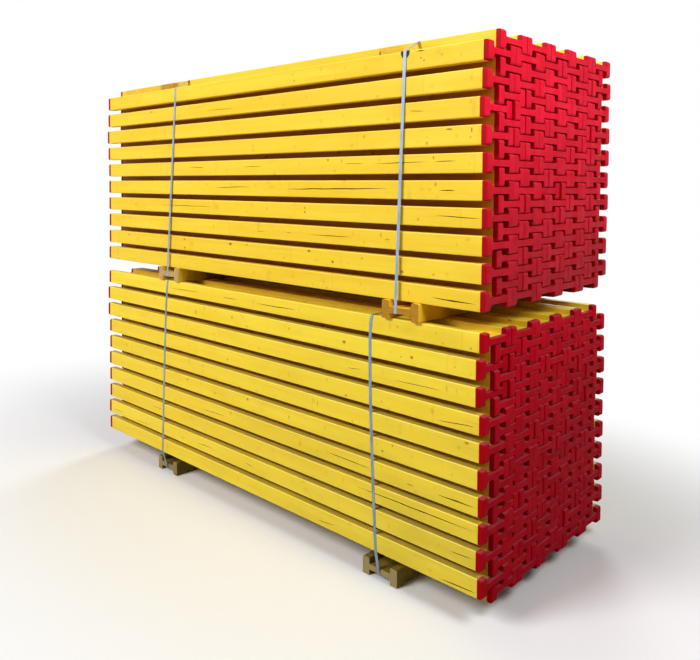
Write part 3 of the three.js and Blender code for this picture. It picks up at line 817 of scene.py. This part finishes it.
def bearer_material(name, face, worn, end, rings, near_ends, speckle=0.0, kept_from=0.40):
    """A weathered offcut: grain along Y on its sides, and growth rings of the colour rings on
    its sawn ends, speckled where it is mouldy. Its sides turn to the colour near_ends from the
    distance kept_from off the bundle's middle; on the upper bearers that colour is painted
    light, where the sides reach out from under the bundle."""
    s = Shader(bpy.data.materials.new(name))
    tone, raw, place = s.attribute("tone"), s.attribute("raw"), s.place()
    board = s.shifted(place, s.times(tone, 17.0), s.times(tone, 43.0), tone)
    pith = s.join(s.chance(tone, 3.1), 0.0, s.chance(tone, 8.7))
    warped = s.plus(
        s.from_pith(place, pith, (0.3, 0.0, 0.2)),
        s.times(s.grain(board, (4.0, 1.0, 4.0)), 0.05),
    )
    ring = s.growth_rings(warped, 210.0, 0.3)
    fibres = s.grain(board, (330.0, 8.0, 330.0))
    patchy = s.noise(board, 14.0, 4.0, 0.6)
    specks = s.noise(board, 240.0)
    sawn = s.coats(
        end,
        (s.times(ring, 0.6), rings),
        (s.rise(patchy, 0.5, 0.7, 0.5), rings),
        (s.rise(specks, 0.48, 0.62, speckle), MOULD),
    )
    off_middle = s.math("ABSOLUTE", s.split(place)[1])
    colour = s.coats(
        s.mix(s.rise(patchy, 0.35, 0.65), face, worn),
        (s.rise(fibres, 0.45, 0.75, 0.5), worn),
        (s.times(ring, 0.25), worn),
        # Painted light on the upper bearers' sides near their ends.
        (s.times(s.rise(off_middle, kept_from, kept_from + 0.13), 0.8), near_ends),
        (raw, sawn),
    )
    return s.finish(
        Base_Color=colour,
        Roughness=0.75,
        Specular_IOR_Level=0.2,
        Normal=s.bump(s.plus(s.times(ring, 0.4), fibres), 0.4, 0.6 * MM),
    )


def steel_material(name, steel, dull, metallic=0.4, roughness=0.4):
    """Steel band or seal: cool grey, with a dull film and fine scratches."""
    s = Shader(bpy.data.materials.new(name))
    place = s.place()
    cloud = s.grain(place, (60.0, 14.0, 14.0), 3.0)
    scratch = s.grain(place, (900.0, 12.0, 12.0), 1.0)
    colour = s.coats(
        s.mix(s.rise(cloud, 0.35, 0.65), steel, dull),
        (s.rise(scratch, 0.55, 0.8, 0.3), BRIGHT_STEEL),
    )
    return s.finish(
        Base_Color=colour,
        Roughness=s.span(cloud, 0.3, 0.7, roughness - 0.06, roughness + 0.08),
        Metallic=metallic,
        Normal=s.bump(scratch, 0.1, 0.1 * MM),
    )


def guard_material(name, black, dusty):
    """Black plastic, scuffed and dusty."""
    s = Shader(bpy.data.materials.new(name))
    place = s.place()
    cloud = s.noise(place, 90.0, 3.0)
    scuffs = s.grain(place, (700.0, 60.0, 60.0))
    colour = s.coats(
        black,
        (s.rise(cloud, 0.4, 0.7, 0.35), dusty),
        (s.rise(scuffs, 0.6, 0.75, 0.5), dusty),
    )
    return s.finish(
        Base_Color=colour,
        Roughness=s.span(cloud, 0.3, 0.7, 0.34, 0.5),
        Specular_IOR_Level=0.2,
        Normal=s.bump(cloud, 0.15, 0.3 * MM),
    )


TIMBER_LOOKS = {
    "upper": dict(
        glaze=(0.905, 0.605, 0.021), light=(0.94, 0.67, 0.038), dark=(0.80, 0.47, 0.010),
        recess_shade_tint=(0.72, 0.42, 0.22), dust=0.1,
        brown=[(-1.40, -0.62, 0.3), (-0.98, -0.74, 1.0), (0.81, 0.99, 0.4)],
    ),
    "lower": dict(
        glaze=(0.96, 0.67, 0.026), light=(0.99, 0.74, 0.040), dark=(0.80, 0.51, 0.012),
        recess_shade_tint=(0.82, 0.64, 0.34), dust=0.7, low_right_darkening=0.85,
    ),
}
CAP_LOOKS = {
    "upper": dict(
        red=(0.86, 0.006, 0.034), pale=(0.85, 0.05, 0.08), deep=(0.44, 0.003, 0.014),
        side=(0.34, 0.0, 0.002), dust=0.1, dust_colour=(0.85, 0.10, 0.13),
        shade_heights=(1.30, 2.08), shine=0.08,
    ),
    # The lower caps' red is darker: partly their own duller colour, partly painted shade.
    "lower": dict(
        red=(0.56, 0.002, 0.014), pale=(0.60, 0.02, 0.040), deep=(0.42, 0.001, 0.010),
        side=(0.34, 0.001, 0.004), dust=0.5, dust_colour=(0.42, 0.075, 0.105),
        shade_heights=(0.60, 1.15), shine=0.02,
    ),
}
BEARER_LOOKS = {
    ("upper", "right"): dict(
        face=(0.86, 0.53, 0.02), worn=(0.48, 0.25, 0.01), end=ORANGE_BROWN,
        rings=(0.42, 0.20, 0.02), speckle=0.55, near_ends=(0.95, 0.58, 0.015), kept_from=0.32,
    ),
    ("upper", "left"): dict(
        face=(0.46, 0.33, 0.03), worn=(0.26, 0.17, 0.015), end=BEIGE,
        rings=(0.44, 0.24, 0.08), near_ends=(0.84, 0.60, 0.03),
    ),
    ("lower", "right"): dict(
        face=(0.40, 0.25, 0.03), worn=(0.20, 0.13, 0.02), end=GREY_BROWN,
        rings=(0.19, 0.13, 0.045), speckle=0.2, near_ends=OLIVE,
    ),
    ("lower", "left"): dict(
        face=(0.26, 0.18, 0.025), worn=(0.13, 0.09, 0.015), end=GREY_BROWN,
        rings=(0.20, 0.13, 0.04), speckle=0.2, near_ends=OLIVE,
    ),
}
STRAP_LOOKS = {
    "upper": dict(steel=(0.33, 0.43, 0.54), dull=(0.24, 0.32, 0.41)),
    "lower": dict(steel=(0.22, 0.33, 0.41), dull=(0.15, 0.22, 0.29)),
}

timber, cap_plastic, strap_steel, bearer_timber = {}, {}, {}, {}
for bundle in BUNDLES:
    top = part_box(f"{bundle}_beam_layer_{LAYERS:02d}")[1].z
    timber[bundle] = timber_material(f"{bundle}_timber", top=top, **TIMBER_LOOKS[bundle])
    cap_plastic[bundle] = cap_material(f"{bundle}_cap_plastic", **CAP_LOOKS[bundle])
    strap_steel[bundle] = steel_material(f"{bundle}_strap_steel", **STRAP_LOOKS[bundle])
for (bundle, side), looks in BEARER_LOOKS.items():
    name = f"{bundle}_bearer_timber_{side}"
    bearer_timber[bundle, side] = bearer_material(name, **looks)
seal_steel = steel_material("seal_steel", (0.46, 0.48, 0.50), (0.32, 0.34, 0.36), 0.9, 0.38)
guard_plastic = guard_material("guard_plastic", (0.008, 0.009, 0.014), (0.045, 0.045, 0.055))


# ---- The beams ----


class Beam:
    """One beam of a layer: where it lies and how far it reaches, without its caps."""

    def __init__(self, y, z, left, right):
        self.y, self.z, self.left, self.right = y, z, left, right
        self.tones = [dice.random() for _ in range(3)]


def lay_beams(bundle):
    """The beams of a bundle, layer by layer, each shifted a little from its neighbours."""
    layers = []
    for number in range(1, LAYERS + 1):
        low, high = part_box(f"{bundle}_beam_layer_{number:02d}")
        most = REACH - CAP_DEPTH - SEAT_GAP - high.x
        least = -(REACH - CAP_DEPTH - SEAT_GAP) - low.x
        beams = []
        for k in range(BEAMS):
            slip = max(-MOST_SLIP, min(MOST_SLIP, dice.gauss(0, END_SPREAD[bundle]))) * MM
            shift = USUAL_END + slip - high.x
            if k == 0 and number in RIGHT_ENDS[bundle]:
                shift = RIGHT_ENDS[bundle][number] - high.x
            shift = max(least, min(most, shift))
            y = low.y + BEAM_DEPTH / 2 + k * (BEAM_DEPTH + BEAM_GAP)
            beams.append(Beam(y, (low.z + high.z) / 2, low.x + shift, high.x + shift))
        layers.append(beams)
    return layers


def marked_face(mesher, bundle, number, beam, at_front):
    """The face of a beam that shows at the front or the back of its bundle, with its marks."""
    half = FLANGE_WIDTH / 2 - TIMBER_EDGE
    low, high = (beam.left, beam.z - half), (beam.right, beam.z + half)
    if at_front:
        cracks = placed_cracks(bundle, number, beam)
        knots = placed_knots(bundle, number, beam)
        knots += scattered_knots(low, high, FRONT_KNOTS, knots, FRONT_KNOT_STRENGTH)
    else:
        cracks = scattered_cracks(low, high, BACK_CRACKS)
        knots = scattered_knots(low, high, BACK_KNOTS)
    knots = [fitted for knot in knots for fitted in clear_of_cracks(knot, cracks)]
    outward = -1 if at_front else 1
    y = beam.y + outward * BEAM_DEPTH / 2
    tone = beam.tones[0 if at_front else 2]
    cracked_face(mesher, low, high, y, -outward, cracks, knots, tone)


def timber_layer(bundle, number, beams):
    """The timber of one layer, with marks where its front or back shows."""
    mesher = Mesher()
    points, _ = rounded(beam_section(TIMBER_EDGE, TIMBER_FILLET), 3)
    set_forward = (number % 2 == 0) == (bundle == "lower")
    for k, beam in enumerate(beams):
        skip = ()
        if k == 0 and (set_forward or number in KNOTS[bundle]):
            marked_face(mesher, bundle, number, beam, at_front=True)
            skip = sides_at(points, -BEAM_DEPTH / 2)
        elif k == BEAMS - 1 and not set_forward:
            marked_face(mesher, bundle, number, beam, at_front=False)
            skip = sides_at(points, BEAM_DEPTH / 2)
        rings = [[(x, beam.y + p.x, beam.z + p.y) for p in points] for x in (beam.left, beam.right)]
        mesher.sweep(rings, part_tones(points, beam.tones), skip)
        mesher.close(rings, beam.tones[1])
    node = f"{bundle}_beam_layer_{number:02d}"
    mesher.build(f"{bundle}_timber_{number:02d}", timber[bundle], "timber", node)


def cap_flange(middle):
    """A flange of a cap that stands on the plane X = 0, with its tips rounded off outwards."""
    half_y, half_z = FLANGE_THICKNESS / 2 - CAP_SHRINK, FLANGE_WIDTH / 2 - CAP_SHRINK
    outline = list(zip(*rounded_box(half_y, half_z, CAP_CORNER, 3)))
    rim = CAP_RIM_ROUND
    rings = [
        [(0.0, middle + p.x - n.x * rim, p.y - n.y * rim) for p, n in outline],
        [(rim, middle + p.x, p.y) for p, _ in outline],
    ]
    steps = 6
    for k in range(steps + 1):
        angle = math.pi / 2 * k / steps
        aside, back = 1 - math.cos(angle), 1 - math.sin(angle)
        ring = []
        for p, n in outline:
            tip = n.y**2
            reach = CAP_TIP_ROUND * tip + CAP_SIDE_ROUND * (1 - tip)
            y = p.x - math.copysign(CAP_SIDE_ROUND * aside, p.x)
            z = p.y - math.copysign(CAP_TIP_ROUND * aside, p.y)
            ring.append((CAP_DEPTH - reach * back, middle + y, z))
        rings.append(ring)
    return rings


def cap_web():
    """The web of a cap, a bar along Y. Its ends flare into the flanges and run on inside them."""
    out = CAP_DEPTH - CAP_WEB_STEP
    steps = 5
    stations = [(WEB_REACH + CAP_WEB_OVERLAP, CAP_FLARE)]
    for k in range(steps + 1):
        turn = math.pi / 2 * k / steps
        y = WEB_REACH - CAP_FLARE * (1 - math.cos(turn))
        stations.append((y, CAP_FLARE * (1 - math.sin(turn))))
    stations += [(-y, flare) for y, flare in reversed(stations)]
    rings = []
    for y, flare in stations:
        half_z = WEB_THICKNESS / 2 - CAP_SHRINK + flare
        corners = [
            (0, -half_z, CAP_RIM_ROUND),
            (out, -half_z, CAP_WEB_ROUND),
            (out, half_z, CAP_WEB_ROUND),
            (0, half_z, CAP_RIM_ROUND),
        ]
        rings.append([(p.x, y, p.y) for p in rounded(corners, 4)[0]])
    return rings


def joined(parts):
    """The vertices and faces of the union of some solids, each given by its rings."""
    solids = []
    for rings in parts:
        mesher = Mesher()
        mesher.solid(rings)
        mesh = bpy.data.meshes.new("part")
        mesh.from_pydata(mesher.verts, [], mesher.faces)
        weld(mesh)
        solids.append(put_in_scene("part", mesh))
    for other in solids[1:]:
        join = solids[0].modifiers.new("join", "BOOLEAN")
        join.operation = "UNION"
        join.solver = "EXACT"
        join.object = other
    whole = solids[0].evaluated_get(bpy.context.evaluated_depsgraph_get()).to_mesh()
    verts = [tuple(v.co) for v in whole.vertices]
    faces = [tuple(f.vertices) for f in whole.polygons]
    for solid in solids:
        bpy.data.objects.remove(solid)
    return verts, faces


def cap_template():
    """The vertices and faces of one cap, standing on the plane X = 0."""
    flange_middle = (BEAM_DEPTH - FLANGE_THICKNESS) / 2
    return joined([cap_flange(-flange_middle), cap_flange(flange_middle), cap_web()])


def cap_panel(bundle, side, layers, cap):
    """All the caps at one end of a bundle."""
    mesher = Mesher()
    verts, faces = cap
    sign = 1 if side == "right" else -1
    for beams in layers:
        for beam in beams:
            foot = (beam.right if side == "right" else beam.left) + sign * SEAT_GAP
            placed = [(foot + sign * x, beam.y + y, beam.z + z) for x, y, z in verts]
            mesher.add(placed, faces, [dice.random()] * len(faces))
    name, node = f"{bundle}_caps_{side}", f"{bundle}_end_caps_{side}"
    mesher.build(name, cap_plastic[bundle], "cap_plastic", node, sharp=CAP_SHARP_OVER)


# ---- Bearers, straps and seals ----


def bearer(bundle, side):
    """An offcut of beam under a bundle, along Y, with worn edges and sawn ends."""
    node = f"{bundle}_bearer_{side}"
    low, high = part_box(node)
    middle = (low + high) / 2
    points, normals = rounded(beam_section(BEARER_EDGE, BEARER_FILLET), 4)
    tones = [dice.random() for _ in range(3)]
    rings = []
    for k in range(BEARER_STEPS + 1):
        y = low.y + (high.y - low.y) * k / BEARER_STEPS
        ring = []
        for p, n in zip(points, normals):
            spot = Vector((p.x * 23, y * 9, p.y * 23 + tones[0] * 40))
            # The faces that the bearer lies and carries on stay level.
            level = abs(n.y) > 0.99 and abs(p.y) > FLANGE_WIDTH / 2 - 0.1 * MM
            wear = 0.0 if level else abs(noise.noise(spot)) * BEARER_WEAR
            at = p - n * wear
            ring.append((middle.x - at.x, y, middle.z + at.y))
        rings.append(ring)
    mesher = Mesher()
    mesher.sweep(rings, part_tones(points, tones))
    mesher.close(rings, tones[0], raw=1.0)
    name = f"{bundle}_offcut_{side}"
    mesher.build(name, bearer_timber[bundle, side], "bearer_timber", node)


def ribbon_section(width, thickness, edge):
    """The outline of a band's cross-section, as (across, inward)."""
    half = width / 2
    outer = [(-half, edge), (-half + edge, 0), (half - edge, 0), (half, edge)]
    return outer + [(across, thickness - inward) for across, inward in reversed(outer)]


STRAP_SECTION = ribbon_section(STRAP_WIDTH, STRAP_THICKNESS, STRAP_EDGE)


class StrapLine:
    """Where a band runs: its outline in the plane (y, z), and its middle along X by height."""

    def __init__(self, bundle, side):
        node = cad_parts[f"{bundle}_strap_{side}"]
        points = np.array([v.co for v in node.data.vertices])
        flat = [Vector((y, z)) for _, y, z in points]
        self.hull = [flat[i] for i in geometry.convex_hull_2d(flat)]
        if sum(self.hull[i - 1].cross(p) for i, p in enumerate(self.hull)) < 0:
            self.hull.reverse()
        self.low, self.high = points[:, 2].min(), points[:, 2].max()
        self.foot = points[points[:, 2] < self.low + 2 * MM, 0].mean()
        self.head = points[points[:, 2] > self.high - 2 * MM, 0].mean()
        self.bow = STRAP_BOW.get((bundle, side), 0.0)

    def middle(self, z):
        return self.foot + (self.head - self.foot) * (z - self.low) / (self.high - self.low)

    def sag(self, z):
        """How far the band's front run lies beside the straight line at a height."""
        share = (self.high - BOW_START - z) / (self.high - self.low - BOW_SPARE)
        return self.bow * MM * math.sin(math.pi * min(1.0, max(0.0, share) ** BOW_SKEW))

    def ring(self, section, p, n, aside=0.0):
        """A cross-section at the point p of the outline, with the outward normal n there."""
        ring = []
        for across, inward in section:
            at = p - n * inward
            ring.append((self.middle(p.y) + aside + across, at.x, at.y))
        return ring


def strap(bundle, side):
    """A steel band drawn tight round a bundle and its bearer, with its tail past the seal."""
    line = StrapLine(bundle, side)
    corners = []
    for i, p in enumerate(line.hull):
        if (p - line.hull[i - 1]).length > 0.5 * MM:
            corners.append((p.x, p.y, STRAP_BEND))
    path, normals = rounded(corners, 3)
    front = min(p.x for p in path) + 1 * MM
    rings = []
    for i, (p, n) in enumerate(zip(path, normals)):
        after = path[(i + 1) % len(path)]
        if max(p.x, after.x) >= front:
            rings.append(line.ring(STRAP_SECTION, p, n))
            continue
        pieces = max(1, round((after - p).length / STRAP_STEP))
        for k in range(pieces):
            at = p.lerp(after, k / pieces)
            rings.append(line.ring(STRAP_SECTION, at, n, line.sag(at.y)))
    mesher = Mesher()
    mesher.sweep(rings, [0.5] * len(STRAP_SECTION), loop=True)

    low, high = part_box(f"{bundle}_strap_seal_{side}")
    top = high.z - TAIL_DROP
    tail = []
    for y in (low.y + TAIL_START, high.y, *(high.y + stop for stop in TAIL_STOPS)):
        tail.append([(line.head + a, y, top - i * TAIL_THICKNESS) for a, i in STRAP_SECTION])
    mesher.solid(tail)
    node = f"{bundle}_strap_{side}"
    mesher.build(f"{bundle}_band_{side}", strap_steel[bundle], "strap_steel", node)


def seal(bundle, side):
    """A crimped sleeve that holds the ends of a band, with two notches pressed in each side."""
    node = f"{bundle}_strap_seal_{side}"
    low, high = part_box(node)
    middle, size = (low + high) / 2, high - low
    half, flat = size.x / 2, size.z / 2
    points, _ = rounded_box(half, flat, flat * SEAL_ROUND, 3)
    rings = []
    for k in range(SEAL_STEPS + 1):
        along = (k / SEAL_STEPS - 0.5) * size.y
        press = max(0.0, 1 - ((abs(along) - NOTCH_AT) / NOTCH_HALF) ** 2)
        ring = []
        for p in points:
            edge = max(0.0, abs(p.x) / half - NOTCH_FROM) / (1 - NOTCH_FROM)
            u = p.x * (1 - NOTCH_IN * press * edge)
            v = p.y - flat * NOTCH_DOWN * press * edge * (1 if p.y > 0 else 0)
            ring.append((middle.x + u, middle.y + along, middle.z + v))
        rings.append(ring)
    mesher = Mesher()
    mesher.solid(rings)
    mesher.build(f"{bundle}_clip_{side}", seal_steel, "seal_steel", node)


def corner_guard(bundle, side):
    """A plastic angle with rounded ends that lies under a band at the bundle's top front edge."""
    node = f"{bundle}_corner_guard_{side}"
    low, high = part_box(node)
    line = StrapLine(bundle, side)
    half = GUARD_WIDTH / 2
    straight = high.y - low.y - half
    stations = []
    for k in range(GUARD_TIP_STEPS + 1):
        angle = GUARD_TIP_ANGLE * (1 - k / GUARD_TIP_STEPS)
        stations.append((straight + half * math.sin(angle), half * math.cos(angle)))
    path = [(Vector((low.y, high.z - away)), Vector((-1, 0)), wide) for away, wide in stations]
    centre = Vector((low.y + GUARD_BEND, high.z - GUARD_BEND))
    for k in range(1, GUARD_BEND_STEPS):
        angle = math.pi / 2 * k / GUARD_BEND_STEPS
        normal = Vector((-math.cos(angle), math.sin(angle)))
        path.append((centre + normal * GUARD_BEND, normal, half))
    path += [(Vector((low.y + away, high.z)), Vector((0, 1)), w) for away, w in reversed(stations)]
    rings = []
    for p, n, wide in path:
        section = ribbon_section(2 * wide, GUARD_THICKNESS, min(GUARD_EDGE, wide / 3))
        rings.append(line.ring(section, p, n))
    mesher = Mesher()
    mesher.solid(rings)
    mesher.build(f"{bundle}_edge_guard_{side}", guard_plastic, "guard_plastic", node)


# ---- Camera, floor and light ----

PICTURE_WIDTH = 700
FOCAL_PIXELS = 717.5
SENSOR = 36
EYE = Vector((2.953, -2.8983, 1.742))
YAW, PITCH, ROLL = math.radians(43.314), math.radians(2.203), math.radians(0.457)
SHIFT_DOWN = 115  # of the picture, in pixels
FARTHEST = 200

SKY_LEVEL = 0.14
FLOOR_RADIUS = 40
FLOOR_SIDES = 64
PALE_SHAPE = (0.62, 1.0, 1.0)  # the floor stays pale further out along X
PALE_EDGE = (1.0, 2.6)  # off the middle along Y, where it turns to white


def add_camera():
    lens = bpy.data.cameras.new("camera")
    lens.sensor_width = SENSOR
    lens.lens = FOCAL_PIXELS * SENSOR / PICTURE_WIDTH
    lens.shift_y = -SHIFT_DOWN / PICTURE_WIDTH
    lens.clip_end = FARTHEST
    camera = put_in_scene("camera", lens)
    camera.matrix_world = Matrix.Translation(EYE)
    for angle, axis in ((YAW, "Z"), (math.pi / 2 - PITCH, "X"), (ROLL, "Z")):
        camera.matrix_world @= Matrix.Rotation(angle, 4, axis)
    bpy.context.scene.camera = camera


def seen_directly(s):
    """1 for a ray from the camera, or one mirrored or let through, and 0 for other light."""
    rays = s.add("LightPath", {}).node.outputs
    seen = s.math("MAXIMUM", rays["Is Camera Ray"], rays["Is Glossy Ray"])
    return s.math("MAXIMUM", seen, rays["Is Transmission Ray"])


def add_world():
    """White where it is seen, and a dim light on everything."""
    s = Shader(bpy.data.worlds.new("studio"))
    level = s.add("MapRange", {"Value": seen_directly(s), "To Min": SKY_LEVEL})
    bpy.context.scene.world = s.finish("Background", Color=(1, 1, 1), Strength=level)


def add_floor():
    """A pale floor that takes the stack's shadow and turns to plain white away from it."""
    mesh = bpy.data.meshes.new("floor")
    turns = [2 * math.pi * k / FLOOR_SIDES for k in range(FLOOR_SIDES)]
    rim = [(FLOOR_RADIUS * math.cos(turn), FLOOR_RADIUS * math.sin(turn), 0) for turn in turns]
    mesh.from_pydata(rim, [], [tuple(range(FLOOR_SIDES))])
    floor = put_in_scene("floor", mesh)
    s = Shader(bpy.data.materials.new("floor"))
    grey = {"Base Color": (0.5, 0.5, 0.5), "Roughness": 0.9, "Specular IOR Level": 0.0}
    mesh.materials.append(s.finish(**grey))
    pale = s.add("BsdfDiffuse", {"Color": (0.88, 0.88, 0.88)})
    white = s.add("Emission", {"Color": (1, 1, 1), "Strength": 1.0})
    far = s.rise(s.length(s.scaled(s.place(), PALE_SHAPE)), *PALE_EDGE)
    shown = s.add("MixShader", {0: far, 1: pale, 2: white})
    lit = s.tree.nodes["Principled BSDF"].outputs[0]
    surface = s.add("MixShader", {0: seen_directly(s), 1: lit, 2: shown})
    s.finish("Material Output", Surface=surface)


def add_lamp(name, place, target, size, power):
    light = bpy.data.lights.new(name, "AREA")
    light.shape = "DISK"
    light.size = size
    light.energy = power
    lamp = put_in_scene(name, light)
    lamp.location = place
    aim = Vector(target) - Vector(place)
    lamp.rotation_euler = aim.to_track_quat("-Z", "Y").to_euler()


add_camera()
add_world()
add_floor()
add_lamp("key", (-1.8, -8.0, 6.4), (0, 0, 1.4), 4.2, 765)
add_lamp("end", (3.7, -0.9, 3.6), (1.4, 0, 1.7), 1.6, 88)
add_lamp("fill", (-3.5, 7.5, 5.0), (0, 0, 1.2), 4.0, 320)

cap = cap_template()
for bundle in BUNDLES:
    layers = lay_beams(bundle)
    for number, beams in enumerate(layers, start=1):
        timber_layer(bundle, number, beams)
    for side in SIDES:
        cap_panel(bundle, side, layers, cap)
        bearer(bundle, side)
        strap(bundle, side)
        seal(bundle, side)
corner_guard("upper", "right")

bpy.context.scene.view_settings.view_transform = "Standard"
